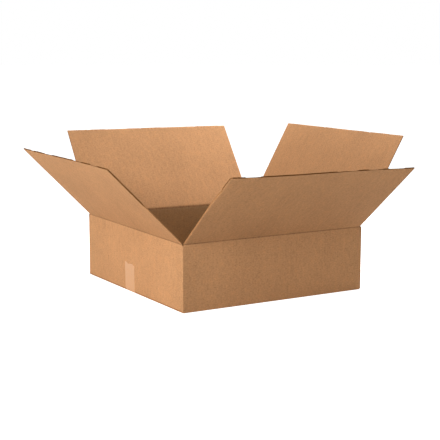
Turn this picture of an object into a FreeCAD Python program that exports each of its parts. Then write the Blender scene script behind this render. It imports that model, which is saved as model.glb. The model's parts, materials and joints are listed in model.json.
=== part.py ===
import FreeCAD
import Part
import os

# An open, shallow, square carton of corrugated board, standing on its taped bottom.
# Origin: centre of the base, on the surface that the box stands on. +Z is up.
# The front wall faces -Y, the back wall +Y, the left wall -X and the right wall +X.
# Millimetres and degrees.

# Driving dimensions
INSIDE = 508.0          # clear length and width inside the walls
BOARD = 4.0             # thickness of the corrugated board
CREASE_Z = 161.0        # nominal height of the top creases
FLUTE_PITCH = 7.8       # from one crest of the corrugated medium to the next
LINER = 0.4             # thickness of each facing sheet
MEDIUM = 0.55           # thickness of the corrugated sheet between the facings
FOLD_R = 3.0            # outside radius of a folded corner
SEAM_GAP = 1.0          # gap where two bottom flaps meet
SLOT = 4.0              # how far an inner bottom flap's side stands in from the walls' inner face

# Top flaps
FLAP_SIDE_GAP = 4.8     # how far a flap's side stands in from the box's outer face
FLAP_END_GAP = 0.3      # half the gap that two closed opposite flaps leave
HINGE_OFFSET = 0.3      # from the crease's axis to the flap's outer face
HINGE_START = 1.8       # from the crease's axis to the flap's root
CREASE_STRIP = 7.0      # crushed, closed board beside the crease
LAYER_GAP = 0.3         # air between closed inner and outer flaps
LIP = 1.2               # board left standing outside the flap's root, up to the crease
LIP_DROP = 0.4          # from the axis down to the lip's top
OPEN_DEG = {"front": 49.5, "back": 34.7, "left": 45.1, "right": 30.4}  # outward from upright

# Glue tab, inside the back right corner
TAB_WIDTH = 35.0
TAB_END_CUT = 10.0      # how much shorter the tab's free edge is at each end
TAB_FOOT = 5.0          # air under the tab
RAW_EDGE_GAP = 0.4      # slit beside the right wall's raw edge

# Packing tape
TAPE_WIDTH = 50.8
TAPE = 0.15             # its thickness
TAPE_Y = 9.0            # its middle, a little behind the seam
TAPE_TOP_Z = 71.0       # how far it is turned up on the left wall
TAPE_TOP_Z_RIGHT = 64.0
TAPE_LEAN = 6.0         # how far a turned-up end leans away from the front
TAPE_SLANT = 2.5        # half of how much a torn end rises across the tape's width
TAPE_FOOT_Z = BOARD + 2.4   # where the tape has come round the bottom fold

# Worked out
OUT = INSIDE / 2 + BOARD                      # outer face of the walls
IN = INSIDE / 2                               # inner face of the walls
STACK = BOARD + LAYER_GAP
MAJOR_AXIS_Z = CREASE_Z + STACK / 2           # front and back flaps close on top
MINOR_AXIS_Z = CREASE_Z - STACK / 2           # left and right flaps close first
WALL_DROP = HINGE_OFFSET + BOARD + LAYER_GAP  # from an axis down to the full-thickness wall
FLAP_HALF = OUT - FLAP_SIDE_GAP
FLOOR_TOP = 2 * BOARD
OUTER_SIDE = OUT - FOLD_R                     # side edge of the outer bottom flaps

SIDES = {
    # name: (turn about Z from the front flap, height of the axis)
    "front": (0, MAJOR_AXIS_Z),
    "right": (90, MINOR_AXIS_Z),
    "back": (180, MAJOR_AXIS_Z),
    "left": (270, MINOR_AXIS_Z),
}

X_AXIS = FreeCAD.Vector(1, 0, 0)
Z_AXIS = FreeCAD.Vector(0, 0, 1)
CENTRE = FreeCAD.Vector(0, 0, 0)


def block(low, high):
    """A box between two corners."""
    size = [b - a for a, b in zip(low, high)]
    return Part.makeBox(size[0], size[1], size[2], FreeCAD.Vector(*low))


def prism(points, direction):
    """A polygon pushed along a direction."""
    wire = Part.makePolygon([FreeCAD.Vector(*p) for p in points + points[:1]])
    return Part.Face(wire).extrude(FreeCAD.Vector(*direction))


def rounding(length, radius):
    """The waste outside a rounded edge along X: the edge lies on the X axis, the solid at +Y, +Z."""
    waste = block((0, 0, 0), (length, radius, radius))
    rod = Part.makeCylinder(radius, length, FreeCAD.Vector(0, radius, radius), X_AXIS)
    return waste.cut(rod)


def fused(shapes):
    """One solid from touching solids, with needless seams taken out."""
    return shapes[0].multiFuse(shapes[1:]).removeSplitter()


def turned(shape, degrees):
    """A copy turned about the box's upright centre line."""
    copy = shape.copy()
    copy.rotate(CENTRE, Z_AXIS, degrees)
    return copy


def outline(low_z, high_z):
    """The box's outer outline with its three folded corners round and the glued one square."""
    shape = block((-OUT, -OUT, low_z), (OUT, OUT, high_z))
    folded = []
    for x, y in ((-OUT, -OUT), (OUT, -OUT), (-OUT, OUT)):
        folded += [e for e in shape.Edges
                   if abs(e.CenterOfMass.x - x) < 0.01 and abs(e.CenterOfMass.y - y) < 0.01]
    return shape.makeFillet(FOLD_R, folded)


def walls():
    """The four walls as one folded tube, with the thin lips that stand outside the flaps' roots."""
    top = MAJOR_AXIS_Z
    minor_top = MINOR_AXIS_Z - WALL_DROP
    major_top = MAJOR_AXIS_Z - WALL_DROP
    hollow = block((-IN, -IN, 0), (IN, IN, top))
    tube = outline(BOARD, top).cut(hollow)
    for turn in (0, 180):
        shelf = block((-FLAP_HALF, -OUT + LIP, major_top), (FLAP_HALF, -IN, top))
        above = block((-OUT, -OUT, MAJOR_AXIS_Z - LIP_DROP), (OUT, -IN, top))
        ends = [block((x, -OUT, major_top), (x + OUT - FLAP_HALF, -IN, top)) for x in (-OUT, FLAP_HALF)]
        tube = tube.cut([turned(s, turn) for s in [shelf, above] + ends])
    for turn in (90, 270):
        shelf = block((-IN, -OUT + LIP, minor_top), (IN, -IN, top))
        above = block((-IN, -OUT, MINOR_AXIS_Z - LIP_DROP), (IN, -IN, top))
        tube = tube.cut([turned(s, turn) for s in (shelf, above)])
    return tube


def bottom_layers():
    """Two crossed layers of closed bottom flaps: outer ones from front and back, inner ones over them."""
    half = SEAM_GAP / 2
    outer = [block((-OUTER_SIDE, -OUT, 0), (OUTER_SIDE, -half, BOARD)),
             block((-OUTER_SIDE, half, 0), (OUTER_SIDE, OUT, BOARD))]
    inner = [block((-IN, -IN + SLOT, BOARD), (-half, IN - SLOT, FLOOR_TOP)),
             block((half, -IN + SLOT, BOARD), (IN, IN - SLOT, FLOOR_TOP))]
    return outer + inner


def glue_tab():
    """The fifth panel: a flap of the back wall, bent forward and glued inside the right wall."""
    low = FLOOR_TOP + TAB_FOOT
    high = MINOR_AXIS_Z - WALL_DROP
    free = IN - TAB_WIDTH
    points = [(IN - BOARD, IN, low), (IN - BOARD, free, low + TAB_END_CUT),
              (IN - BOARD, free, high - TAB_END_CUT), (IN - BOARD, IN, high)]
    return prism(points, (BOARD, 0, 0))


def raw_edge_notch():
    """The rounded fold of the back wall into its tab, beside the right wall's raw edge."""
    height = MAJOR_AXIS_Z
    notch = block((IN - RAW_EDGE_GAP - FOLD_R, OUT - FOLD_R, 0), (IN, OUT, height))
    rod = Part.makeCylinder(FOLD_R, height,
                            FreeCAD.Vector(IN - RAW_EDGE_GAP - FOLD_R, OUT - FOLD_R, 0), Z_AXIS)
    return notch.cut(rod)


def bottom_roundings():
    """The rounded folds where walls turn under the box, at the height of the layer they turn into."""
    waste = []
    for turn, z in ((0, 0), (180, 0), (90, BOARD), (270, BOARD)):
        strip = rounding(2 * OUT, FOLD_R)
        strip.translate(FreeCAD.Vector(-OUT, -OUT, z))
        waste.append(turned(strip, turn))
    return waste


def bottom_tape():
    """One strip along the bottom seam, round both folds and up the left and right walls."""
    low_y = TAPE_Y - TAPE_WIDTH / 2
    high_y = TAPE_Y + TAPE_WIDTH / 2
    under = [(OUTER_SIDE, TAPE), (OUTER_SIDE, 0.04), (OUT - 0.25, BOARD + 0.9), (OUT, TAPE_FOOT_Z)]
    outside = [(OUT + TAPE, TAPE_FOOT_Z), (OUT - 0.08, BOARD + 0.8), (OUTER_SIDE + 0.12, 0)]
    inner_line = [(-x, z) for x, z in reversed(under)] + under
    outer_line = outside + [(-x, z) for x, z in reversed(outside)]
    pieces = [prism([(x, low_y, z) for x, z in inner_line + outer_line], (0, TAPE_WIDTH, 0))]
    for side, top in ((-1, TAPE_TOP_Z), (1, TAPE_TOP_Z_RIGHT)):
        end = [(side * OUT, low_y, TAPE_FOOT_Z), (side * OUT, high_y, TAPE_FOOT_Z),
               (side * OUT, high_y + TAPE_LEAN, top + TAPE_SLANT),
               (side * OUT, low_y + TAPE_LEAN, top - TAPE_SLANT)]
        pieces.append(prism(end, (side * TAPE, 0, 0)))
    return fused(pieces)


def box_body():
    """Walls, closed bottom flaps and glue tab: one cut, creased and folded sheet."""
    body = fused([walls(), glue_tab()] + bottom_layers())
    body = body.cut(bottom_roundings() + [raw_edge_notch()])
    recess = block((-OUTER_SIDE, TAPE_Y - TAPE_WIDTH / 2, 0),
                   (OUTER_SIDE, TAPE_Y + TAPE_WIDTH / 2, TAPE))
    return body.cut(recess)


def flute_holes(x_from, x_to, z_low, z_high):
    """Outlines of the open channels in a board's end: one above and one below each wave's flank."""
    bottom = z_low + LINER
    top = z_high - LINER
    rise = MEDIUM / 2
    count = int((x_to - x_from - 2 * LINER) // FLUTE_PITCH)
    first = (x_from + x_to - count * FLUTE_PITCH) / 2
    narrow = FLUTE_PITCH / 12
    wide = FLUTE_PITCH / 2 - narrow - 1.4 * MEDIUM
    holes = []
    for i in range(count):
        low_mid = first + (i + 0.25) * FLUTE_PITCH
        high_mid = first + (i + 0.75) * FLUTE_PITCH
        holes.append([(low_mid - wide, bottom), (low_mid + wide, bottom),
                      (low_mid + narrow, top - rise), (low_mid - narrow, top - rise)])
        holes.append([(high_mid - narrow, bottom + rise), (high_mid + narrow, bottom + rise),
                      (high_mid + wide, top), (high_mid - wide, top)])
    return holes


def closed_flap(axis_z):
    """A front flap lying shut: corrugated board with open flutes at its free edge."""
    top = axis_z - HINGE_OFFSET
    low = top - BOARD
    root = -OUT + HINGE_START
    strip_end = root + CREASE_STRIP
    edge = -FLAP_END_GAP
    corners = [(-FLAP_HALF, low), (FLAP_HALF, low), (FLAP_HALF, top), (-FLAP_HALF, top)]
    wires = []
    for ring in [corners] + flute_holes(-FLAP_HALF, FLAP_HALF, low, top):
        points = [FreeCAD.Vector(x, strip_end, z) for x, z in ring + ring[:1]]
        wires.append(Part.makePolygon(points))
    section = Part.makeFace(wires, "Part::FaceMakerBullseye")
    board = section.extrude(FreeCAD.Vector(0, edge - strip_end, 0))
    strip = block((-FLAP_HALF, root, low), (FLAP_HALF, strip_end, top))
    return fused([board, strip])


def top_flap(side):
    """A flap opened about its crease to where it stands at rest."""
    turn, axis_z = SIDES[side]
    flap = closed_flap(axis_z)
    flap.rotate(FreeCAD.Vector(0, -OUT, axis_z), X_AXIS, 90 + OPEN_DEG[side])
    return turned(flap, turn)


def main():
    os.makedirs("parts", exist_ok=True)
    nodes = {"box_body": box_body(), "bottom_tape": bottom_tape()}
    for side in SIDES:
        nodes["flap_" + side] = top_flap(side)
    for name, shape in nodes.items():
        if len(shape.Solids) != 1 or not shape.isValid():
            raise ValueError(name + " is not one valid solid")
        shape.Solids[0].exportStep("parts/" + name + ".step")
        box = shape.BoundBox
        print(name, "faces", len(shape.Faces), "volume cm3", round(shape.Volume / 1000, 1),
              "x", round(box.XMin, 1), round(box.XMax, 1), "y", round(box.YMin, 1),
              round(box.YMax, 1), "z", round(box.ZMin, 2), round(box.ZMax, 1))


main()
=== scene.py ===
"""An open, shallow carton of corrugated kraft board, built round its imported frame."""
import json
import math

import bmesh
import bpy
from bpy.props import FloatProperty, FloatVectorProperty, IntProperty, PointerProperty
from mathutils import Matrix, Vector, noise


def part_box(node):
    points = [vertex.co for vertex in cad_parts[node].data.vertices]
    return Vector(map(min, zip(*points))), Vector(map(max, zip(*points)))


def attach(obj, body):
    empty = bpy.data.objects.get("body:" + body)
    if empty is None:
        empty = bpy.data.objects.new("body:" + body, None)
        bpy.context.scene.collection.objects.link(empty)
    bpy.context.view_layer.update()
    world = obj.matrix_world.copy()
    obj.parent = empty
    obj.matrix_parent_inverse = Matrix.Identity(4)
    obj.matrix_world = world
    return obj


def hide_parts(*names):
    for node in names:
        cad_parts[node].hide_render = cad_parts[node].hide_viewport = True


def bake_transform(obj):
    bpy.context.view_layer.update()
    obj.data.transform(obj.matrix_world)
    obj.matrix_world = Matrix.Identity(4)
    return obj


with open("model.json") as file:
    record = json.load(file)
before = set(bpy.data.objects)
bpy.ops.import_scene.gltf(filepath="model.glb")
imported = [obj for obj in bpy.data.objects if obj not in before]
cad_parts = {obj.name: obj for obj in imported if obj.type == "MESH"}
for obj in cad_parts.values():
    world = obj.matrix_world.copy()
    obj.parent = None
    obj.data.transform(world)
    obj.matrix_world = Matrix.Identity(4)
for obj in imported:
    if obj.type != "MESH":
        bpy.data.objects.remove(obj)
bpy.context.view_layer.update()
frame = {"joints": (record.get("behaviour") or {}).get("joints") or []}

bl_info = {
    "name": "Open carton",
    "version": (1, 0, 0),
    "blender": (4, 5, 0),
    "location": "View3D > Sidebar > Carton",
    "description": "Builds the looks of an open corrugated carton round its packed frame",
    "category": "Object",
}

MM = 0.001

# Sizes read from the frame, in millimetres
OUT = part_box("box_body")[1].x / MM            # outer face of the walls
JOINTS = {j["child"]: j for j in frame["joints"]}
AXIS_Z = {side: JOINTS[side + "_flap"]["pos_m"][2] / MM for side in ("front", "right", "back", "left")}
OPEN_DEG = {side: -JOINTS[side + "_flap"]["range_deg"][0] - 90 for side in AXIS_Z}
FLAP_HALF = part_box("flap_front")[1].x / MM    # half a flap's width
TAPE_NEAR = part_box("bottom_tape")[0].y / MM   # the near side of the tape's solid

# The board, in millimetres
BOARD = 4.0            # its thickness
IN = OUT - BOARD       # inner face of the walls
CREASE_Z = sum(AXIS_Z.values()) / 4           # the top creases lie in one line round the box
CORNER_R = 2.4         # outside radius of a vertical fold
FLAP_LENGTH = 258.0    # from the crease to the free edge
STRIP_Z = CREASE_Z - 9.0                      # where a flap's own piece starts, on the wall
RIM_Z = CREASE_Z - 0.3                        # top of the board left standing at the corners
RIM_RISE = 5.0         # the sprung board stands this much higher at the far left corner
RIM_CUT = 2.8          # the slot between the flaps is cut this much below the rim at the near corner
TAB_WIDTH = 35.0       # of the glue tab
TAB_GAP = 0.4          # glue line between the tab and the right wall
TAB_FOOT = 13.0        # its height above the floor beside the fold
TAB_BEVEL = 10.0       # how much shorter it is at its free edge, above and below
FOOT = 0.15            # the board stands on its tape
FOOT_R = 1.8           # radius of the folds at the foot
CORNER_FOOT = 1.4      # the upright folds end at the slots between the bottom flaps
SLOT = 4.0             # the inner bottom flaps end this far in from the walls beside them
OUTER_SLOT = 3.0       # and the outer ones from the box's corners
SEAM = 1.0             # gap between two bottom flaps that meet in the middle

# The tape, in millimetres
TAPE_WIDTH = 50.8
TAPE_INSET = 3.3       # it starts this far in from the near side of its solid
TAPE_TOPS = (71.0, 64.0)                      # heights of its ends on the left and the right wall
TAPE_LEAN = 1.6        # how far its ends lean towards the back
TAPE_ROWS = 26         # steps across it

# The map of the blank is in metres, and the inner faces lie this much further up in it
BACK = 3.0

SIDES = ("right", "front", "left", "back")    # in the order in which the blank runs round the box
TURN = {"front": 0, "right": 90, "back": 180, "left": 270}

# What the photographed flaps do besides opening: degrees of twist from the middle to either end,
# degrees that both ends lean out more than the middle, and millimetres of bow
WARP = {
    "front": (0.7, 0.0, 1.3), "right": (-0.6, 0.0, 0.5),
    "back": (0.13, 0.0, -0.6), "left": (0.25, 0.25, 0.6),
}

# Small nicks in the free edges: place along the edge, width, depth
NICKS = {
    "front": [(-176, 9, 1.3), (-60, 6, 0.8), (-18, 5, 1.0), (38, 12, 0.9), (96, 7, 1.2), (152, 10, 0.8)],
    "left": [(-232, 7, 1.0), (-170, 10, 1.2), (-92, 6, 0.9), (20, 9, 1.0), (118, 7, 0.7)],
    "right": [(-120, 9, 0.9), (75, 7, 0.8)],
    "back": [(-150, 8, 0.8), (30, 10, 0.7), (190, 7, 0.9)],
}

# Stretches of the free edges whose flutes stand open, along each edge
OPEN_SPANS = {
    "front": [(-258, -212), (-172, 30), (88, 118), (160, 178), (225, 258)],
    "left": [(-258, -205), (-180, -110), (-60, 60), (110, 160), (200, 258)],
    "right": [(-200, -60), (40, 90), (170, 230)],
    "back": [(-230, -150), (-40, 70), (140, 200)],
}

# How far in from each side edge the corrugated sheet's last wall stands:
# near the crease, beyond, at the tip
WEB_GAPS = {
    ("front", -1): (0.1, 0.6, 2.2), ("front", 1): (0.2, 0.4, 0.8),
    ("left", 1): (0.1, 2.8, 3.2), ("left", -1): (0.3, 0.6, 0.5),
    ("right", -1): (0.4, 0.3, 0.3), ("right", 1): (0.5, 0.9, 0.8),
    ("back", 1): (0.4, 0.3, 0.6), ("back", -1): (0.5, 0.9, 1.5),
}
WEB_STEPS = 6          # steps across the board in that wall
WEB_BULGE = 0.8        # how far it bulges

# How far each side edge is pressed together near the crease and beyond, and where that changes
EDGE_PRESS = {
    ("front", -1): (1.2, 1.3, 200), ("front", 1): (1.6, 1.6, 120),
    ("left", 1): (2.4, 0.3, 135), ("left", -1): (1.6, 1.8, 120),
    ("right", -1): (2.2, 2.4, 120), ("right", 1): (1.6, 1.4, 120),
    ("back", 1): (1.8, 1.6, 120), ("back", -1): (1.6, 1.8, 120),
}

# The outer facing's share of the pressing, at the free edge and at the side edges
PRESS_SHARE = {"front": (0.2, 0.8), "left": (0.2, 0.6), "right": (0.7, 0.5), "back": (0.5, 0.5)}

# Where a side edge is worn back: place up the flap, depth
WORN_SIDES = {
    ("front", -1): [(0, 0), (165, 0), (198, 2.4), (209, 6.0), (216, 3.6), (229, 3.4), (246, 4.4), (258, 5.6)],
}
WORN_REACH = 30.0      # how far in from the edge the board is drawn along

# The torn top of the tape on the left wall: share of its width from the near side, height
TEAR = [(0, -1.5), (0.12, -1.6), (0.2, 1.2), (0.4, 0.3), (0.6, -1.2),
        (0.72, -1.5), (0.78, 1.8), (0.88, 1.4), (1, 2.6)]

# Places up a flap at which its facings are drawn: round its crease, and back from its free edge
CREASE_STATIONS = (-9, -6.5, -4.5, -3, -2, -1.4, -0.9, -0.5, -0.2, 0,
                   0.2, 0.5, 0.9, 1.4, 2, 3, 4.5, 6.5, 9, 13)
EDGE_STATIONS = (6.5, 4.5, 3.0, 1.5, 0.7, 0.0)
FLAP_STEPS = 36        # steps between those
FLAP_COLUMNS = 129     # steps along the crease
SIDE_COLUMNS = (0.0, 0.4, 0.9, 1.6, 2.4, 3.4, 5.0)    # places in from the side edges, beside those

# Places up a flap at which the corrugated sheet is drawn
SHEET_ROWS = [-8.8, -4, -2, -1, 0, 1, 2, 4, 8, 20, 60, 140, 215]
SHEET_ROWS += [FLAP_LENGTH - d for d in (9, 6.5, 4.5, 3, 1.5, 0.5)]
SHEET_NARROWER = 9.0   # than the flap, both sides together
SHEET_SHIFT = 0.31     # share of a flute by which its wave is shifted

BLEND_REACH = 3.2      # how far before and after its crease two points on the bend are worked out; nothing uses them

# The lamps: degrees round from the front towards the left, degrees up, distance and size in metres
LAMPS = {
    "back_light": (228, 55, 1.3, (0.6, 0.6)),
    "right_light": (255, 40, 1.3, (0.6, 0.6)),
    "left_light": (72, 20, 3.0, (0.8, 0.5)),
    "low_light": (90, 1, 3.0, (1.0, 0.5)),
    "front_light": (25, 15, 1.6, (0.8, 0.5)),
}
LAMP_AIM = Vector((0, 0, 0.15))

# The camera, where the photograph was taken from
CAMERA_PLACE = (-1.4366, -2.3787, 0.5987)
CAMERA_DOWN = 8.94     # degrees
CAMERA_RIGHT = 30.28   # degrees
CAMERA_SHIFT = (15 / 440, 0.5 / 440)          # 15 pixels and half a pixel of the frame


class BoardSettings(bpy.types.PropertyGroup):
    """The corrugated board."""
    flute_pitch: FloatProperty(
        name="Flute pitch", description="From one crest of the corrugated sheet to the next",
        default=7.8 * MM, min=0.002, unit="LENGTH")
    liner: FloatProperty(
        name="Liner", description="Thickness of a facing sheet",
        default=0.45 * MM, min=0.0001, unit="LENGTH")
    medium: FloatProperty(
        name="Medium", description="Thickness of the corrugated sheet",
        default=0.35 * MM, min=0.0001, unit="LENGTH")
    flute_steps: IntProperty(
        name="Steps", description="Edges along one flute of the corrugated sheet",
        default=12, min=6, max=32)
    kraft: FloatVectorProperty(
        name="Kraft", description="Colour of the facing paper",
        default=(0.439, 0.229, 0.105), size=3, subtype="COLOR")
    # Painted shade: this darkens and cools the inner faces of the walls and the bottom, which stand in the
    # box's shade; the flaps' inner faces, of the same paper, keep the plain kraft.
    inside: FloatVectorProperty(
        name="Inside tint", description="What the facing's colour is multiplied by inside the walls",
        default=(0.79, 0.925, 1.01), size=3)
    raw: FloatVectorProperty(
        name="Raw edge", description="Colour of cut board",
        default=(0.330, 0.155, 0.060), size=3, subtype="COLOR")
    fluting: FloatVectorProperty(
        name="Fluting", description="Colour of the corrugated sheet between the facings",
        default=(0.220, 0.092, 0.026), size=3, subtype="COLOR")


class TapeSettings(bpy.types.PropertyGroup):
    """The packing tape."""
    thickness: FloatProperty(
        name="Thickness", description="Thickness of the tape",
        default=0.11 * MM, min=0.00002, unit="LENGTH")
    colour: FloatVectorProperty(
        name="Colour", description="Colour of the tape on the board",
        default=(0.540, 0.297, 0.150), size=3, subtype="COLOR")


class StageSettings(bpy.types.PropertyGroup):
    """Floor, lights and camera."""
    floor: FloatVectorProperty(
        name="Floor", description="Colour of the floor",
        default=(0.80, 0.80, 0.80), size=3, subtype="COLOR")
    floor_glow: FloatProperty(
        name="Floor glow", description="How much brighter than lit the floor looks",
        default=0.88, min=0)
    floor_radius: FloatProperty(
        name="Floor radius", description="Radius of the floor",
        default=40.0, unit="LENGTH")
    sky: FloatProperty(
        name="Sky", description="Strength of the even light from all round",
        default=0.3, min=0)
    back_light: FloatProperty(
        name="Back light", description="Power of the light above, behind and to the right",
        default=16.0, min=0, unit="POWER")
    right_light: FloatProperty(
        name="Right light", description="Power of the light above the right side",
        default=8.2, min=0, unit="POWER")
    left_light: FloatProperty(
        name="Left light", description="Power of the light above the left side",
        default=36.5, min=0, unit="POWER")
    low_light: FloatProperty(
        name="Low light", description="Power of the light near the floor on the left",
        default=42.0, min=0, unit="POWER")
    front_light: FloatProperty(
        name="Front light", description="Power of the light in front",
        default=6.5, min=0, unit="POWER")
    lens: FloatProperty(
        name="Lens", description="Focal length in millimetres",
        default=88.67, min=10)


def smooth(x):
    """A smooth step from 0 to 1."""
    x = min(max(x, 0.0), 1.0)
    return x * x * (3 - 2 * x)


def mound(height, reach, x):
    """A rise of a given height at 0 that falls away smoothly over its reach."""
    return height * math.exp(-(x / reach) ** 2)


def between(knots, x):
    """Straight-line interpolation in a list of pairs."""
    for (a, low), (b, high) in zip(knots, knots[1:]):
        if x <= b:
            return low + (high - low) * (x - a) / (b - a)
    return knots[-1][1]


def spread(start, end, steps):
    """Numbers from start to end in even steps, both included."""
    return [start + (end - start) * k / steps for k in range(steps + 1)]


def place(side, x, o, z):
    """A point given along a wall, outward from its outer face and up, in millimetres."""
    point = Matrix.Rotation(math.radians(TURN[side]), 3, "Z") @ Vector((x, -OUT - o, z))
    return point * MM


def plan(side, x, o):
    """A point in plan, in millimetres."""
    return (place(side, x, o, 0) / MM).to_2d()


def blank_u(side, x):
    """How far round the flat blank a point along a wall lies, from the raw edge at the back right corner."""
    return (SIDES.index(side) * 2 * OUT + OUT - x) * MM


def rim_rise(side, x):
    """How much higher than the near rim the board stands: the left and back rims climb to one corner."""
    if side == "left":
        return RIM_RISE * (0.5 - x / (2 * OUT))
    if side == "back":
        return RIM_RISE * (0.5 + x / (2 * OUT))
    return 0.0


def rim_top(side, x):
    """The height of the board left standing at a wall's end."""
    near_corner = side == "front" and x < 0 or side == "left" and x > 0
    return RIM_Z + rim_rise(side, x) - (RIM_CUT if near_corner else 0.0)


def end_of(x):
    """Which end of a wall or flap a place along it is nearer to: 1 or -1."""
    return 1 if x > 0 else -1


class Maker:
    """Collects closed shells, each made of grids of points, and turns them into one mesh."""
    SHARP_DEG = 40     # a fold sharper than this is shaded as an edge

    def __init__(self):
        self.points, self.faces, self.uvs, self.slots = [], [], [], []
        self.known = {}

    def shell(self):
        """Starts a new closed shell: points weld only within one shell."""
        self.known = {}

    def index(self, point):
        """The number of a point, which is new unless the shell has one there."""
        key = tuple(round(c, 7) for c in point)
        if key not in self.known:
            self.known[key] = len(self.points)
            self.points.append(point)
        return self.known[key]

    def face(self, corners, uvs, slot):
        """One face, unless its corners fall together."""
        ids = [self.index(p) for p in corners]
        keep = [k for k in range(len(ids)) if ids[k] != ids[k - 1]]
        if len({ids[k] for k in keep}) == len(keep) >= 3:
            self.faces.append([ids[k] for k in keep])
            self.uvs.extend(uvs[k] for k in keep)
            self.slots.append(slot)

    def grid(self, points, uvs, slot=0):
        """A patch of quads over rows of points."""
        for a, b, ua, ub in zip(points, points[1:], uvs, uvs[1:]):
            for k in range(len(a) - 1):
                self.face([a[k], a[k + 1], b[k + 1], b[k]], [ua[k], ua[k + 1], ub[k + 1], ub[k]], slot)

    def turned_grid(self, points, uvs, slot=0):
        """The same patch, facing the other way."""
        self.grid([row[::-1] for row in points], [row[::-1] for row in uvs], slot)

    def rim(self, first, second, uvs, width=0.0, slot=0):
        """Closes the four edges between two patches, so wide on the map."""
        for k in (0, -1):
            side = [row[k] for row in uvs]
            self.grid([[row[k] for row in first], [row[k] for row in second]],
                      [side, [(u + width, v) for u, v in side]], slot)
            self.grid([first[k], second[k]], [uvs[k], [(u, v + width) for u, v in uvs[k]]], slot)

    def add_mesh(self, mesh, move, uv_of, slot):
        """A mesh made elsewhere, with each vertex moved."""
        self.shell()
        base = len(self.points)
        self.points.extend(move(v.co) for v in mesh.vertices)
        for poly in mesh.polygons:
            self.faces.append([base + i for i in poly.vertices])
            self.uvs.extend(uv_of(mesh.vertices[i].co) for i in poly.vertices)
            self.slots.append(slot)

    def build(self, name, materials):
        """The finished piece, with its faces pointing outwards."""
        mesh = bpy.data.meshes.new(name)
        mesh.from_pydata(self.points, [], self.faces)
        layer = mesh.uv_layers.new(name="Blank")
        layer.data.foreach_set("uv", [c for uv in self.uvs for c in uv])
        mesh.polygons.foreach_set("material_index", self.slots)
        for m in materials:
            mesh.materials.append(m)
        work = bmesh.new()
        work.from_mesh(mesh)
        bmesh.ops.recalc_face_normals(work, faces=work.faces)
        work.to_mesh(mesh)
        work.free()
        mesh.polygons.foreach_set("use_smooth", [True] * len(mesh.polygons))
        mesh.set_sharp_from_angle(angle=math.radians(self.SHARP_DEG))
        mesh.validate()
        piece = bpy.data.objects.new(name, mesh)
        bpy.context.scene.collection.objects.link(piece)
        return piece


class Value:
    """A node's output that takes part in Python sums: each operator adds a Math node."""

    def __init__(self, tree, socket):
        self.tree, self.socket = tree, socket

    def maths(self, operation, a, b=0.0):
        return add_node(self.tree, "ShaderNodeMath", {"operation": operation}, {0: a, 1: b})

    def __add__(self, other):
        return self.maths("ADD", self, other)

    def __mul__(self, other):
        return self.maths("MULTIPLY", self, other)

    def __sub__(self, other):
        return self.maths("SUBTRACT", self, other)

    def __rsub__(self, other):
        return self.maths("SUBTRACT", other, self)

    def __truediv__(self, other):
        return self.maths("DIVIDE", self, other)

    __radd__ = __add__
    __rmul__ = __mul__

    def sine(self):
        return self.maths("SINE", self)

    def absolute(self):
        return self.maths("ABSOLUTE", self)

    def ramp(self, low, high):
        """0 below low and 1 above high, smooth between."""
        return add_node(self.tree, "ShaderNodeMapRange", {"interpolation_type": "SMOOTHSTEP"},
                        {"Value": self, "From Min": low, "From Max": high})


def set_inputs(tree, node, sockets):
    """Links or sets the inputs of a node."""
    for name, value in sockets.items():
        if isinstance(value, Value):
            tree.links.new(value.socket, node.inputs[name])
        else:
            node.inputs[name].default_value = value


def add_node(tree, kind, settings=None, sockets=None, out=0):
    """Adds a node: its settings first, then the values or links of its sockets. Returns an output."""
    node = tree.nodes.new(kind)
    for name, value in (settings or {}).items():
        setattr(node, name, value)
    set_inputs(tree, node, sockets or {})
    return Value(tree, node.outputs[out])


def mix_colour(tree, factor, a, b, blend="MIX"):
    """A colour mixed from two, by value or link."""
    a, b = (c if isinstance(c, Value) else (*c, 1.0) for c in (a, b))
    return add_node(tree, "ShaderNodeMix", {"data_type": "RGBA", "blend_type": blend},
                    {0: factor, 6: a, 7: b}, 2)


def grey(tree, tone):
    """The grey of a brightness."""
    return add_node(tree, "ShaderNodeCombineColor", None, {0: tone, 1: tone, 2: tone})


def toned(tree, colour, tone):
    """A colour made brighter or darker by a tone round 1."""
    return mix_colour(tree, 1.0, colour, grey(tree, tone), "MULTIPLY")


def relief(tree, strength, height):
    """The normal of a surface with small heights, in metres."""
    return add_node(tree, "ShaderNodeBump", None, {"Strength": strength, "Distance": 1.0, "Height": height})


def new_material(name):
    """An empty node material and its shader."""
    material = bpy.data.materials.new(name)
    material.use_nodes = True
    tree = material.node_tree
    shader = next(n for n in tree.nodes if n.type == "BSDF_PRINCIPLED")
    return material, tree, shader


def blank_place(tree):
    """The place on the flat blank, in metres: along the fibres, and along the flutes."""
    uv = add_node(tree, "ShaderNodeUVMap", {"uv_map": "Blank"})
    parts = add_node(tree, "ShaderNodeSeparateXYZ", None, {0: uv}).socket.node.outputs
    return Value(tree, parts[0]), Value(tree, parts[1])


def stretched_noise(tree, u, v, across, along, detail, rough=0.5):
    """Noise with one grain size round the blank and another along its flutes, in metres."""
    spot = add_node(tree, "ShaderNodeCombineXYZ", None, {0: u / across, 1: v / along, 2: 0.0})
    return add_node(tree, "ShaderNodeTexNoise", {"noise_dimensions": "2D"},
                    {"Vector": spot, "Scale": 1.0, "Detail": detail, "Roughness": rough})


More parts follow.
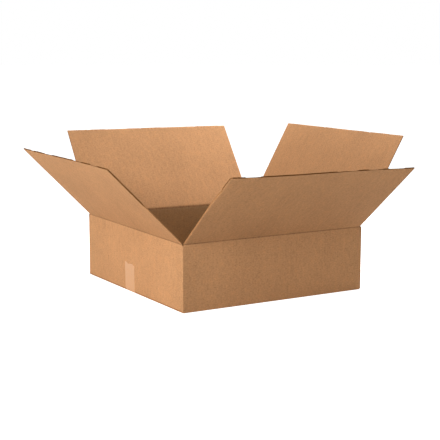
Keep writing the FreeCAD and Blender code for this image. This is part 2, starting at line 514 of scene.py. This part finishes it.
def kraft_paper(settings):
    """Brown kraft facing: cloudy, fibrous and speckled, faintly striped over the flutes by their ripple's
    bump and by painted shade of that ripple, darkened along the creases by the pressed score and by painted
    shade of the fold, and darkened inside the walls by painted shade.
    """
    material, tree, shader = new_material("kraft_paper")
    u, v = blank_place(tree)
    cloud = stretched_noise(tree, u, v, 0.090, 0.120, 2.0)
    mottle = stretched_noise(tree, u, v, 0.012, 0.020, 3.0, 0.6)
    fibre = stretched_noise(tree, u, v, 0.0052, 0.0030, 3.0, 0.6)
    speck = stretched_noise(tree, u, v, 0.0040, 0.0028, 1.0)
    stripe = stretched_noise(tree, u, v, 0.0065, 0.300, 2.0, 0.6)
    blotch = stretched_noise(tree, u, v, 0.0080, 0.0080, 2.0, 0.6)
    # Painted shade: a dark line along each crease on the outer and the inner faces, partly the darker pressed
    # paper of the score and partly the fold's shade painted into the colour.
    score_and_shade_outside = 1.0 - (v - CREASE_Z * MM - 0.0002).absolute().ramp(0.0008, 0.0026)
    score_and_shade_inside = 1.0 - (v - CREASE_Z * MM - BACK).absolute().ramp(0.0008, 0.0026)
    folded = score_and_shade_outside + score_and_shade_inside
    # Painted shade: the faint ripple of the facing over the flutes is drawn as light and dark stripes in the
    # colour, as well as in the bump below.
    wave = (u * (2 * math.pi / settings.flute_pitch)).sine()
    tone = 1.0 + (cloud - 0.5) * 0.18 + (mottle - 0.5) * 0.24 + (blotch - 0.5) * 0.16
    # folded darkens the tone along the creases: painted shade of the fold, together with the darker pressed
    # score.
    tone = tone + (fibre - 0.5) * 0.50 + (stripe - 0.5) * 0.07 + wave * 0.010 - folded * 0.34
    dark_specks = speck.ramp(0.66, 0.78)
    light_specks = 1.0 - speck.ramp(0.20, 0.33)
    tone = tone - dark_specks * 0.20 + light_specks * 0.10
    colour = toned(tree, settings.kraft, tone)
    crease = CREASE_Z * MM + BACK
    # Painted shade: the inner faces below the crease are multiplied by the inside tint, which stands in for
    # the shade inside the box.
    inside = v.ramp(BACK / 2 - 0.1, BACK / 2 + 0.1) * (1.0 - v.ramp(crease - 0.003, crease + 0.001))
    colour = mix_colour(tree, inside, colour, mix_colour(tree, 1.0, colour, settings.inside, "MULTIPLY"))
    warm = mix_colour(tree, 1.0, colour, (1.04, 0.95, 0.84), "MULTIPLY")
    colour = mix_colour(tree, (mottle - 0.45).ramp(0.0, 0.35) * 0.35, colour, warm)
    height = fibre * 0.00010 + mottle * 0.00006 + wave * 0.000022 + stripe * 0.00003
    set_inputs(tree, shader, {"Base Color": colour, "Roughness": 0.82, "Specular IOR Level": 0.12,
                              "Normal": relief(tree, 0.55, height)})
    return material


def cut_board(settings):
    """Cut edges of the facing sheets: darker, torn and hairy."""
    material, tree, shader = new_material("cut_board")
    u, v = blank_place(tree)
    torn = stretched_noise(tree, u, v, 0.0016, 0.0016, 3.0, 0.7)
    patch = stretched_noise(tree, u, v, 0.014, 0.014, 2.0)
    colour = toned(tree, settings.raw, 1.0 + (torn - 0.5) * 0.55 + (patch - 0.5) * 0.45)
    set_inputs(tree, shader, {"Base Color": colour, "Roughness": 0.92, "Specular IOR Level": 0.15,
                              "Normal": relief(tree, 0.6, torn * 0.0003)})
    return material


def fluting_paper(settings):
    """The rough, darker corrugated sheet inside the board."""
    material, tree, shader = new_material("fluting_paper")
    u, v = blank_place(tree)
    fibre = stretched_noise(tree, u, v, 0.003, 0.0015, 3.0, 0.6)
    colour = toned(tree, settings.fluting, 1.0 + (fibre - 0.5) * 0.4)
    set_inputs(tree, shader, {"Base Color": colour, "Roughness": 0.9, "Specular IOR Level": 0.15})
    return material


def tape_film(settings):
    """Tan film tape: smooth, a little glossy, with pressed streaks along it and dull trapped air."""
    material, tree, shader = new_material("tape_film")
    u, v = blank_place(tree)
    streak = stretched_noise(tree, u, v, 0.0030, 0.120, 3.0, 0.6)
    air = stretched_noise(tree, u, v, 0.0080, 0.0110, 3.0, 0.6)
    colour = toned(tree, settings.colour, 1.0 + (streak - 0.5) * 0.14 + (air - 0.5) * 0.12)
    rough = 0.30 + air.ramp(0.45, 0.7) * 0.18
    height = streak * 0.00012 + air * 0.00012
    set_inputs(tree, shader, {"Base Color": colour, "Roughness": rough, "Specular IOR Level": 0.5,
                              "Normal": relief(tree, 0.35, height)})
    return material


def corrugator():
    """The node tree of a flat corrugated sheet: a fine grid lifted in a wave across its width."""
    tree = bpy.data.node_groups.new("Corrugated sheet", "GeometryNodeTree")
    sockets = (("Width", "NodeSocketFloat", 500.0), ("Rows", "NodeSocketInt", 2),
               ("Columns", "NodeSocketInt", 100), ("Pitch", "NodeSocketFloat", 7.8),
               ("Height", "NodeSocketFloat", 3.0), ("Shift", "NodeSocketFloat", 0.0),
               ("Material", "NodeSocketMaterial", None))
    for name, kind, default in sockets:
        socket = tree.interface.new_socket(name, in_out="INPUT", socket_type=kind)
        if default is not None:
            socket.default_value = default
    tree.interface.new_socket("Geometry", in_out="OUTPUT", socket_type="NodeSocketGeometry")
    inputs = tree.nodes.new("NodeGroupInput").outputs
    given = {name: Value(tree, inputs[name]) for name, _, _ in sockets}
    sheet = add_node(tree, "GeometryNodeMeshGrid", None,
                     {"Size X": given["Width"], "Size Y": given["Rows"] - 1.0,
                      "Vertices X": given["Columns"], "Vertices Y": given["Rows"]})
    spot = add_node(tree, "GeometryNodeInputPosition")
    across = add_node(tree, "ShaderNodeSeparateXYZ", None, {0: spot})
    wave = ((across + given["Shift"]) / given["Pitch"] * (2 * math.pi)).sine()
    up = add_node(tree, "ShaderNodeCombineXYZ", None, {2: wave * (given["Height"] * 0.5)})
    waved = add_node(tree, "GeometryNodeSetPosition", None, {"Geometry": sheet, "Offset": up})
    real = add_node(tree, "GeometryNodeRealizeInstances", None, {0: waved})
    done = add_node(tree, "GeometryNodeSetMaterial", None, {"Geometry": real, "Material": given["Material"]})
    set_inputs(tree, tree.nodes.new("NodeGroupOutput"), {0: done})
    return tree


def corrugated_sheet(tree, values, thickness):
    """A plain mesh of the corrugated sheet, with its thickness."""
    holder = bpy.data.objects.new("sheet_maker", bpy.data.meshes.new("sheet_maker"))
    bpy.context.scene.collection.objects.link(holder)
    wave = holder.modifiers.new("Wave", "NODES")
    wave.node_group = tree
    for item in tree.interface.items_tree:
        if item.in_out == "INPUT" and item.name in values:
            wave[item.identifier] = values[item.name]
    thick = holder.modifiers.new("Thickness", "SOLIDIFY")
    thick.thickness = thickness
    thick.offset = 0.0
    bpy.context.view_layer.update()
    made = holder.evaluated_get(bpy.context.evaluated_depsgraph_get())
    mesh = bpy.data.meshes.new_from_object(made)
    bpy.data.objects.remove(holder)
    return mesh


class TopFlap:
    """The shape of one top flap, with the strip of wall under its crease, in millimetres."""
    BEND = 1.6                   # half the height of the bend
    SCORE = (0.24, 0.6, 1.3)     # groove outside along the crease: depth, reach on the flap and on the wall
    SCORE_DIP = (0.05, 3.5)      # the shallow dip round it: depth, reach
    CRUSH = (0.55, 4.0)          # how the inner facing is pressed down beside the crease: depth, reach
    CRUSH_LINE = (0.35, 1.2)     # and along the crease itself
    PINCH_REACH = 5.0            # how far in from a cut edge the board is pressed together
    OPEN_PINCH = 0.6             # how much the free edge is pressed together where its flutes stand open
    SHUT_PINCH = 2.4             # and where they don't
    CHANGE = 25.0                # the length over which a side edge changes from one state to the next
    TIP = (215, 14.0)            # where the tip of a side edge starts, and over what length it changes
    CORNER = 0.5                 # radius of the free corners
    WORN_CORNER = 4.0            # radius where the side edge is worn back
    RAGGED_REACH = 1.5           # how far in from the free edge its raggedness reaches

    def __init__(self, side):
        self.side = side
        twist, lean, self.bow = WARP[side]
        self.angle, self.twist, self.lean = (math.radians(a) for a in (OPEN_DEG[side], twist, lean))
        self.stations = [float(s) for s in CREASE_STATIONS]
        self.stations += spread(self.stations[-1], FLAP_LENGTH - 9.0, FLAP_STEPS)[1:]
        self.stations += [FLAP_LENGTH - d for d in EDGE_STATIONS]

    def wander(self, a, b, seed=0.0):
        """Smooth noise between -1 and 1 that is different on each side."""
        return noise.noise(Vector((a, b, TURN[self.side] + seed)))

    def ragged(self, x, facing):
        """How far the cut free edge passes the full length."""
        rough = self.wander(x * 0.16, facing * 7.0) * 0.30
        rough += self.wander(x * 0.03, facing * 3.0, 5.0) * 0.25
        for middle, width, depth in NICKS[self.side]:
            rough -= depth * smooth(1 - abs(x - middle) / width) * (1.0 if facing else 0.6)
        return rough

    def changing(self, near, far, turn, s):
        """A value at s up a side edge that goes from near to far round the turn."""
        return near + (far - near) * smooth((s - turn) / self.CHANGE + 0.5)

    def pressed(self, x, s):
        """How far the cutting pressed the outer and the inner facing inwards at x, s."""
        open_here = any(low < x < high for low, high in OPEN_SPANS[self.side])
        free = (self.OPEN_PINCH if open_here else self.SHUT_PINCH) + 0.7 * self.wander(x * 0.055, 2.0, 0.5)
        free *= max(0.0, 1 - (FLAP_LENGTH - s) / self.PINCH_REACH) ** 2
        side = self.changing(*EDGE_PRESS[self.side, end_of(x)], s) + 0.3 * self.wander(s * 0.05, 4.0, 0.5)
        side *= max(0.0, 1 - (FLAP_HALF - abs(x)) / self.PINCH_REACH) ** 2
        free_share, side_share = PRESS_SHARE[self.side]
        outer = max(free * free_share, side * side_share)
        inner = max(free * (1 - free_share), side * (1 - side_share))
        return outer, inner

    def worn(self, x, s):
        """How far the board near a worn side edge lies nearer the middle."""
        end = end_of(x)
        if s <= 0 or (self.side, end) not in WORN_SIDES:
            return 0.0
        return end * between(WORN_SIDES[self.side, end], s) * smooth(1 - (FLAP_HALF - abs(x)) / WORN_REACH)

    def web_gap(self, end, s):
        """How far in from a side edge the last wall of the corrugated sheet stands, s along the board."""
        near, far, tip = WEB_GAPS[self.side, end]
        turn = EDGE_PRESS[self.side, end][2]
        tip_start, tip_change = self.TIP
        gap = self.changing(near, far, turn, s) + (tip - far) * smooth((s - tip_start) / tip_change)
        gap += 0.5 * gap * self.wander(s * 0.045, end * 4.0)
        return max(0.06, gap)

    def corner_cut(self, x, s):
        """The slightly rounded free corners: how much narrower the flap is near its end."""
        radius = self.WORN_CORNER if (self.side, end_of(x)) in WORN_SIDES else self.CORNER
        past = max(0.0, s - (FLAP_LENGTH - radius))
        return radius - math.sqrt(max(0.0, radius * radius - past * past))

    def at(self, x, s, depth, facing):
        """The point at x along the crease, s along the board and depth below its outer face."""
        share = x / FLAP_HALF
        angle = self.angle + self.twist * share + self.lean * share * share
        phi = angle * smooth(s / (2 * self.BEND) + 0.5)
        edge = FLAP_LENGTH - self.RAGGED_REACH
        if s > edge:
            s = s + self.ragged(x, facing) * smooth((s - edge) / self.RAGGED_REACH)
        half_width = FLAP_HALF - self.corner_cut(x, s)
        x = max(-half_width, min(half_width, x))
        score_depth, flap_reach, wall_reach = self.SCORE
        groove = mound(score_depth, flap_reach if s > 0 else wall_reach, s) + mound(*self.SCORE_DIP, s)
        crush = mound(*self.CRUSH, s) + mound(*self.CRUSH_LINE, s)
        outer, inner = self.pressed(x, s)
        groove += outer
        crush += inner
        x -= self.worn(x, s)
        press = depth / BOARD
        depth = depth + groove * (1 - press) - crush * press
        far = max(0.0, s) / FLAP_LENGTH
        bow = self.bow * math.sin(math.pi * share) * far * far
        bow += 0.10 * self.wander(x * 0.011, s * 0.011) * smooth(far * 5)
        depth = depth + bow
        o = s * math.sin(phi) - depth * math.cos(phi)
        z = CREASE_Z + rim_rise(self.side, x) + s * math.cos(phi) + depth * math.sin(phi)
        return place(self.side, x, o, z)

    def uv(self, x, s, back):
        """The place on the map of the blank."""
        return (blank_u(self.side, x), (CREASE_Z + s) * MM + (BACK if back else 0.0))


def add_web(maker, flap, end, liner, thick):
    """The last wall of the corrugated sheet beside a side edge, where the cut ran along a flute."""
    maker.shell()
    depths = spread(liner, BOARD - liner, WEB_STEPS)
    stations = [s for s in flap.stations if -8.9 < s < FLAP_LENGTH - 0.4]
    layers = []
    for inward in (0.0, thick):
        rows = []
        for s in stations:
            gap = flap.web_gap(end, s) + inward
            bulge = min(WEB_BULGE, gap)
            reach = FLAP_HALF - flap.corner_cut(end, s) - gap - bulge
            row = []
            for k, depth in enumerate(depths):
                lean = bulge * math.cos(math.pi * k / WEB_STEPS)
                row.append(flap.at(end * (reach - lean), s, depth, 1))
            rows.append(row)
        layers.append(rows)
    uvs = [[flap.uv(end * (FLAP_HALF - d), s, True) for d in depths] for s in stations]
    outer, inner = layers
    maker.grid(outer, uvs, 1)
    maker.turned_grid(inner, uvs, 2)
    maker.rim(outer, inner, uvs, slot=1)


def flap_columns():
    """Places across a flap, closer together at its sides."""
    inner = FLAP_HALF - SIDE_COLUMNS[-1]
    left = [-FLAP_HALF + d for d in SIDE_COLUMNS]
    right = [FLAP_HALF - d for d in reversed(SIDE_COLUMNS)]
    return left + spread(-inner, inner, FLAP_COLUMNS)[1:-1] + right


def add_facing(maker, flap, columns, top, low, facing):
    """One facing sheet of a flap as a closed thin shell."""
    maker.shell()
    stations = flap.stations
    outer, inner = ([[flap.at(x, s, d, facing) for x in columns] for s in stations] for d in (top, low))
    front_uv, back_uv = ([[flap.uv(x, s, b) for x in columns] for s in stations] for b in (False, True))
    shown_top = top < BOARD / 2
    maker.grid(outer, front_uv, 0 if shown_top else 2)
    maker.turned_grid(inner, back_uv, 2 if shown_top else 0)
    maker.rim(outer, inner, front_uv, 0.001, 1)


def sheet_station(y):
    """The place up the flap of a place on the flat corrugated sheet, whose rows lie one apart."""
    last = len(SHEET_ROWS) - 1
    row = min(int(max(y + last / 2, 0.0)), last - 1)
    part = y + last / 2 - row
    return SHEET_ROWS[row] + (SHEET_ROWS[row + 1] - SHEET_ROWS[row]) * part


def make_flap(side, board, materials, tree):
    """A whole top flap: two facings, the corrugated sheet between them and the creased strip of wall."""
    flap = TopFlap(side)
    maker = Maker()
    columns = flap_columns()
    liner, medium, pitch = board.liner / MM, board.medium / MM, board.flute_pitch / MM
    add_facing(maker, flap, columns, 0.0, liner, 0)
    add_facing(maker, flap, columns, BOARD - liner, BOARD, 1)
    for end in (-1, 1):
        add_web(maker, flap, end, liner, medium)
    flutes = int(2 * FLAP_HALF / pitch)
    values = {"Width": 2 * FLAP_HALF - SHEET_NARROWER, "Rows": len(SHEET_ROWS),
              "Columns": flutes * board.flute_steps + 1, "Pitch": pitch,
              "Height": BOARD - 2 * liner - medium, "Shift": SHEET_SHIFT * pitch, "Material": materials[2]}
    sheet = corrugated_sheet(tree, values, medium)
    maker.add_mesh(sheet, lambda p: flap.at(p.x, sheet_station(p.y), BOARD / 2 + p.z, 1),
                   lambda p: flap.uv(p.x, sheet_station(p.y), True), 2)
    bpy.data.meshes.remove(sheet)
    piece = maker.build("top_flap_" + side, materials)
    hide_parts("flap_" + side)
    along = flap.angle / 2
    out, up = BLEND_REACH * math.sin(along), BLEND_REACH * math.cos(along)
    crease = CREASE_Z + rim_rise(side, 0.0)
    start, end = place(side, 0, -out, crease - up), place(side, 0, out, crease + up)
    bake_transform(piece)


class WallColumn:
    """One upright line of the folded wall: its outer and inner place in plan, its foot and its top."""
    LEVELS = (1.0, 0.75, 0.5, 0.25)    # shares of its height at which it is drawn

    def __init__(self, outer, inner, u, foot, top, round_foot=True):
        self.outer, self.inner, self.u = outer, inner, u
        self.foot, self.top, self.round_foot = foot, top, round_foot

    def outline(self):
        """Points round the board's section from its top outer edge to its top inner edge: depth, height."""
        low = self.foot + FOOT_R
        levels = [low + (self.top - low) * k for k in self.LEVELS]
        points = [(0.0, z) for z in levels]
        for k in range(6):
            a = math.pi / 2 * k / 5
            if self.round_foot:
                points.append((FOOT_R - FOOT_R * math.cos(a), low - FOOT_R * math.sin(a)))
            else:    # nearly square, beside the slots
                points.append((0.02 * k, low - (FOOT_R - 0.6) * k / 5))
        points.append((BOARD, points[-1][1]))
        points += [(BOARD, z) for z in reversed(levels)]
        return points

    def at(self, depth, z):
        """The point at a depth below the outer face."""
        spot = self.outer + (self.inner - self.outer) * (depth / BOARD)
        return Vector((spot.x, spot.y, z)) * MM


def side_columns(side, first, last):
    """The columns of one wall's straight stretch, in the order of the blank: from +x to -x."""
    foot = FOOT if side in ("front", "back") else BOARD
    near = FLAP_HALF + 0.1
    # Place, whether the board stands there to the rim, and foot
    stops = [(OUT - CORNER_R, True, CORNER_FOOT), (IN, True, CORNER_FOOT), (IN, True, foot),
             (near, True, foot), (near, False, foot)]
    stops += [(x, False, foot) for x in spread(near, -near, 64)[1:-1]]
    stops += [(-x, standing, low) for x, standing, low in reversed(stops[:5])]
    made = []
    for x, standing, low in stops:
        x = max(min(x, first), last)
        top = rim_top(side, x) if standing else STRIP_Z + rim_rise(side, x)
        made.append(WallColumn(plan(side, x, 0), plan(side, x, -BOARD), blank_u(side, x), low, top))
    return made


def corner_columns(side):
    """The columns round the fold at the end of a wall, where x is lowest."""
    made = []
    steps = 6
    inner = plan(side, -IN, -BOARD)
    u = blank_u(side, -OUT + CORNER_R)
    for k in range(1, steps):
        a = math.pi / 2 * k / steps
        out = plan(side, -OUT + CORNER_R - CORNER_R * math.sin(a), -CORNER_R + CORNER_R * math.cos(a))
        made.append(WallColumn(out, inner, u + CORNER_R * a * MM, CORNER_FOOT, rim_top(side, -OUT), False))
    return made


def tab_columns(u):
    """The columns of the glue tab: round the back right corner, then forward along the right wall."""
    made = []
    face = IN - TAB_GAP
    inner = Vector((face - BOARD, IN))
    for k in range(1, 6):
        a = math.pi / 2 * k / 5
        out = Vector((face - CORNER_R + CORNER_R * math.sin(a), OUT - CORNER_R + CORNER_R * math.cos(a)))
        made.append(WallColumn(out, inner, u + CORNER_R * a * MM, CORNER_FOOT, RIM_Z, False))
    for k in range(5):
        y = IN - 0.5 - (TAB_WIDTH - 1) * k / 4
        cut = TAB_BEVEL * k / 4
        made.append(WallColumn(Vector((face, y)), Vector((face - BOARD * 0.8, y)), u + (OUT - y) * MM,
                               TAB_FOOT + cut, STRIP_Z - 2 - cut, False))
    return made


def wall_columns():
    """All columns of the folded tube, from the right wall's raw edge round to the glue tab's free edge."""
    columns = []
    for side in SIDES:
        first = OUT if side == "right" else OUT - CORNER_R
        last = -(IN - TAB_GAP - CORNER_R) if side == "back" else -OUT + CORNER_R
        columns += side_columns(side, first, last)
        if side != "back":
            columns += corner_columns(side)
    columns[0] = WallColumn(plan("right", OUT, 0), plan("right", OUT, -BOARD), 0.0, CORNER_FOOT, RIM_Z)
    return columns + tab_columns(columns[-1].u)


def add_walls(maker):
    """The walls, their folds at the foot and the glue tab as one closed shell."""
    maker.shell()
    columns = wall_columns()
    lines, uvs = [], []
    for column in columns:
        outline = column.outline()
        lines.append([column.at(d, z) for d, z in outline])
        uvs.append([(column.u, z * MM + (BACK if d > BOARD - 0.01 else 0.0)) for d, z in outline])
    maker.grid(lines, uvs, 0)
    tops = [[line[0] for line in lines], [line[-1] for line in lines]]
    top_uvs = [[uv[0] for uv in uvs], [(uv[0][0], uv[0][1] + BOARD * MM) for uv in uvs]]
    maker.grid(tops, top_uvs, 1)
    for k in (0, -1):
        ring = lines[k]
        across = [(columns[k].u + d * MM, z * MM) for d, z in columns[k].outline()]
        for a in range(len(ring) // 2):
            b = len(ring) - 1 - a
            if b - a > 1:
                maker.face([ring[a], ring[a + 1], ring[b - 1], ring[b]],
                           [across[a], across[a + 1], across[b - 1], across[b]], 1)


def add_slab(maker, side, half_width, low):
    """One closed bottom flap: a board lying in from its wall's foot to the seam in the middle."""
    maker.shell()
    xs = spread(-half_width, half_width, 24)
    reaches = spread(-BOARD, -(OUT - SEAM / 2), 10)
    under = [[place(side, x, o, low) for x in xs] for o in reaches]
    over = [[place(side, x, o, low + BOARD) for x in xs] for o in reaches]
    out_uv = [[(blank_u(side, x), (o - 1.0) * MM) for x in xs] for o in reaches]
    in_uv = [[(u, v + BACK) for u, v in row] for row in out_uv]
    maker.grid(under, out_uv, 0)
    maker.turned_grid(over, in_uv, 0)
    maker.rim(under, over, out_uv, BOARD * MM, 1)


def make_body(materials):
    """Walls, glue tab and the four closed bottom flaps."""
    maker = Maker()
    add_walls(maker)
    for side in ("front", "back"):
        add_slab(maker, side, OUT - OUTER_SLOT, FOOT)
    for side in ("left", "right"):
        add_slab(maker, side, IN - SLOT, BOARD)
    piece = maker.build("carton_walls", materials)
    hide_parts("box_body")
    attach(piece, "root")


def tape_path():
    """The line that the tape follows from its left end, under the box and up the right wall: x, z."""
    left_top, right_top = TAPE_TOPS
    start = BOARD + FOOT_R
    # Round the fold at the foot and under the bottom flap beside it: in from the wall, height
    bend = [(FOOT_R * (1 - math.cos(a)), start - FOOT_R * math.sin(a)) for a in (0.0, 0.4, 0.8, 1.2)]
    bend += [(2.0, 3.5), (2.6, 2.6), (2.85, 1.4), (2.95, 0.5), (3.4, FOOT)]
    path = [(-OUT, z) for z in spread(left_top, start, 14)[:-1]]
    path += [(-OUT + d, z) for d, z in bend]
    path += [(x, FOOT) for x in spread(-250.0, 250.0, 30)]
    path += [(OUT - d, z) for d, z in reversed(bend)]
    path += [(OUT, z) for z in spread(start, right_top, 12)[1:]]
    return path


def make_tape(settings, material):
    """The tape over the bottom seam, with its two torn ends on the walls."""
    path = tape_path()
    thick = settings.thickness / MM
    lengths = [0.0]
    for a, b in zip(path, path[1:]):
        lengths.append(lengths[-1] + math.dist(a, b))
    inner, outer, uvs = [], [], []
    for k, (x, z) in enumerate(path):
        before, after = path[max(k - 1, 0)], path[min(k + 1, len(path) - 1)]
        run = Vector((after[0] - before[0], after[1] - before[1])).normalized()
        normal = Vector((run.y, -run.x))
        lean = TAPE_LEAN * smooth((z - 5) / 66.0) if abs(x) > OUT - 1 else 0.0
        rows = ([], [])
        line = []
        for j in range(TAPE_ROWS + 1):
            y = TAPE_NEAR + TAPE_INSET + TAPE_WIDTH * j / TAPE_ROWS + lean
            torn = 0.0
            if k in (0, len(path) - 1):
                share = j / TAPE_ROWS
                torn = between(TEAR, share if k == 0 else 1 - share)
                torn += 0.5 * noise.noise(Vector((j * 0.9, k * 3.1, 0.0)))
            lift = 0.01 if z < 1 else 0.05 + 0.05 * noise.noise(Vector((j * 0.35, lengths[k] * 0.05, 9.0)))
            for row, off in zip(rows, (lift, lift + thick)):
                row.append(Vector((x + normal.x * off, y, max(z + normal.y * off + torn, 0.0))) * MM)
            line.append((y * MM, lengths[k] * MM))
        inner.append(rows[0])
        outer.append(rows[1])
        uvs.append(line)
    maker = Maker()
    maker.grid(inner, uvs)
    maker.turned_grid(outer, uvs)
    maker.rim(inner, outer, uvs)
    piece = maker.build("packing_tape", [material])
    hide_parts("bottom_tape")
    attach(piece, "root")


def board_materials(settings):
    """The three finishes of the board: facing, cut edge, corrugated sheet."""
    made = [bpy.data.materials.get(n) for n in ("kraft_paper", "cut_board", "fluting_paper")]
    if None in made:
        made = [kraft_paper(settings), cut_board(settings), fluting_paper(settings)]
    return made


def add_softbox(name, round_deg, up_deg, distance, size, power):
    """A soft lamp that points at the box and that the camera doesn't see."""
    data = bpy.data.lights.new(name, "AREA")
    data.shape = "RECTANGLE"
    data.size, data.size_y = size
    data.energy = power
    lamp = bpy.data.objects.new(name, data)
    turn, up = math.radians(round_deg), math.radians(up_deg)
    way = Vector((-math.sin(turn) * math.cos(up), -math.cos(turn) * math.cos(up), math.sin(up)))
    lamp.location = LAMP_AIM + way * distance
    lamp.rotation_euler = (-way).to_track_quat("-Z", "Y").to_euler()
    lamp.visible_camera = False
    bpy.context.scene.collection.objects.link(lamp)


def make_floor(settings):
    """A wide, pale, even floor that glows a little, and more towards its rim."""
    work = bmesh.new()
    bmesh.ops.create_circle(work, cap_ends=True, segments=64, radius=settings.floor_radius)
    mesh = bpy.data.meshes.new("studio_floor")
    work.to_mesh(mesh)
    work.free()
    material, tree, shader = new_material("studio_floor")
    seen = add_node(tree, "ShaderNodeLightPath")
    spot = add_node(tree, "ShaderNodeTexCoord", out=3)
    away = add_node(tree, "ShaderNodeVectorMath", {"operation": "LENGTH"}, {0: spot}, 1)
    glow = seen * (settings.floor_glow + away.ramp(0.7, 2.4) * (1.0 - settings.floor_glow))
    set_inputs(tree, shader, {"Base Color": (*settings.floor, 1), "Roughness": 0.9, "Specular IOR Level": 0.0,
                              "Emission Color": grey(tree, glow), "Emission Strength": 1.0})
    mesh.materials.append(material)
    floor = bpy.data.objects.new("studio_floor", mesh)
    bpy.context.scene.collection.objects.link(floor)


def make_sky(strength):
    """Even light from all round, over a white backdrop."""
    world = bpy.data.worlds.new("studio")
    world.use_nodes = True
    tree = world.node_tree
    backdrop = next(n for n in tree.nodes if n.type == "BACKGROUND")
    seen = add_node(tree, "ShaderNodeLightPath")
    set_inputs(tree, backdrop, {"Color": (1, 1, 1, 1), "Strength": strength + seen * (1.0 - strength)})
    bpy.context.scene.world = world


def make_camera(lens):
    """The camera, where the photograph was taken from."""
    data = bpy.data.cameras.new("camera")
    data.sensor_width = 36.0
    data.lens = lens
    data.shift_x, data.shift_y = CAMERA_SHIFT
    data.clip_end = 200
    camera = bpy.data.objects.new("camera", data)
    camera.location = CAMERA_PLACE
    camera.rotation_euler = (math.radians(90 - CAMERA_DOWN), 0, math.radians(-CAMERA_RIGHT))
    bpy.context.scene.collection.objects.link(camera)
    bpy.context.scene.camera = camera


class CARTON_OT_stage(bpy.types.Operator):
    """Make the floor, the lights and the camera"""
    bl_idname = "carton.stage"
    bl_label = "Stage"

    def execute(self, context):
        settings = context.scene.carton_stage
        make_floor(settings)
        make_sky(settings.sky)
        for name, lamp in LAMPS.items():
            add_softbox(name, *lamp, getattr(settings, name))
        make_camera(settings.lens)
        context.scene.view_settings.view_transform = "Standard"
        context.scene.view_settings.look = "None"
        return {"FINISHED"}


class CARTON_OT_walls(bpy.types.Operator):
    """Make the walls, the glue tab and the closed bottom flaps"""
    bl_idname = "carton.walls"
    bl_label = "Walls and bottom"

    def execute(self, context):
        make_body(board_materials(context.scene.carton_board))
        return {"FINISHED"}


class CARTON_OT_flaps(bpy.types.Operator):
    """Make the four top flaps, each bent along its crease"""
    bl_idname = "carton.flaps"
    bl_label = "Top flaps"

    def execute(self, context):
        board = context.scene.carton_board
        materials = board_materials(board)
        tree = corrugator()
        for side in SIDES:
            make_flap(side, board, materials, tree)
        return {"FINISHED"}


class CARTON_OT_tape(bpy.types.Operator):
    """Make the packing tape"""
    bl_idname = "carton.tape"
    bl_label = "Packing tape"

    def execute(self, context):
        settings = context.scene.carton_tape
        make_tape(settings, tape_film(settings))
        return {"FINISHED"}


class CARTON_PT_panel(bpy.types.Panel):
    """The carton's steps"""
    bl_idname = "CARTON_PT_panel"
    bl_label = "Open carton"
    bl_space_type = "VIEW_3D"
    bl_region_type = "UI"
    bl_category = "Carton"

    def draw(self, context):
        for step in (CARTON_OT_stage, CARTON_OT_walls, CARTON_OT_flaps, CARTON_OT_tape):
            self.layout.operator(step.bl_idname)
        for group in (context.scene.carton_board, context.scene.carton_tape, context.scene.carton_stage):
            for name in group.__annotations__:
                self.layout.prop(group, name)


CLASSES = (BoardSettings, TapeSettings, StageSettings, CARTON_OT_stage, CARTON_OT_walls,
           CARTON_OT_flaps, CARTON_OT_tape, CARTON_PT_panel)


def register():
    for c in CLASSES:
        bpy.utils.register_class(c)
    bpy.types.Scene.carton_board = PointerProperty(type=BoardSettings)
    bpy.types.Scene.carton_tape = PointerProperty(type=TapeSettings)
    bpy.types.Scene.carton_stage = PointerProperty(type=StageSettings)


def unregister():
    for name in ("carton_board", "carton_tape", "carton_stage"):
        delattr(bpy.types.Scene, name)
    for c in reversed(CLASSES):
        bpy.utils.unregister_class(c)


def main():
    register()
    bpy.ops.carton.stage()
    bpy.ops.carton.walls()
    bpy.ops.carton.flaps()
    bpy.ops.carton.tape()


if __name__ == "__main__":
    main()
